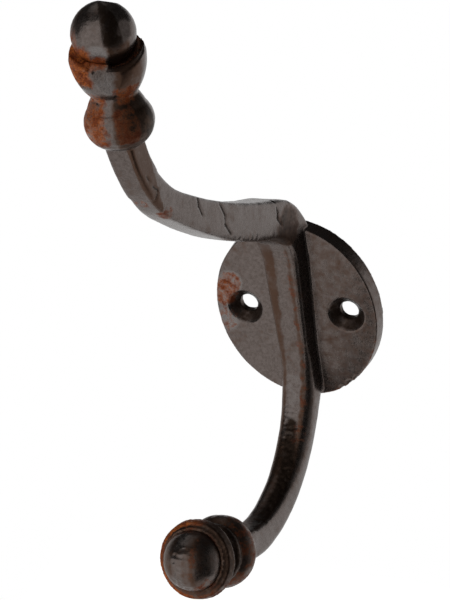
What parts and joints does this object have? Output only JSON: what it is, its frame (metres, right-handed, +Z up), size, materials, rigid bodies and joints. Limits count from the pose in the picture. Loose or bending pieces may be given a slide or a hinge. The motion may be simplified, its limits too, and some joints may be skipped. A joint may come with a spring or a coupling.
{
  "type": "coat hook",
  "caption": "Cast-iron hat and coat hook: oval screw plate, long curved hat arm above and short hooked coat arm below, each ending in a turned ball finial.",
  "frame": {"origin": "centre of the backplate's rear face, on the wall", "axes": "+Z up the wall, +Y out of the plate's rear face into the wall, the arms reach out towards -Y, X along the line of the screw holes; x = 0 is the middle plane of the plate and both arms"},
  "size_m": [0.0516, 0.0961, 0.1727],
  "materials": {
    "rusty_iron": "worn satin with patches of orange rust"
  },
  "bodies": {
    "root": {"hook_casting": "rusty_iron"}
  },
  "joints": []
}
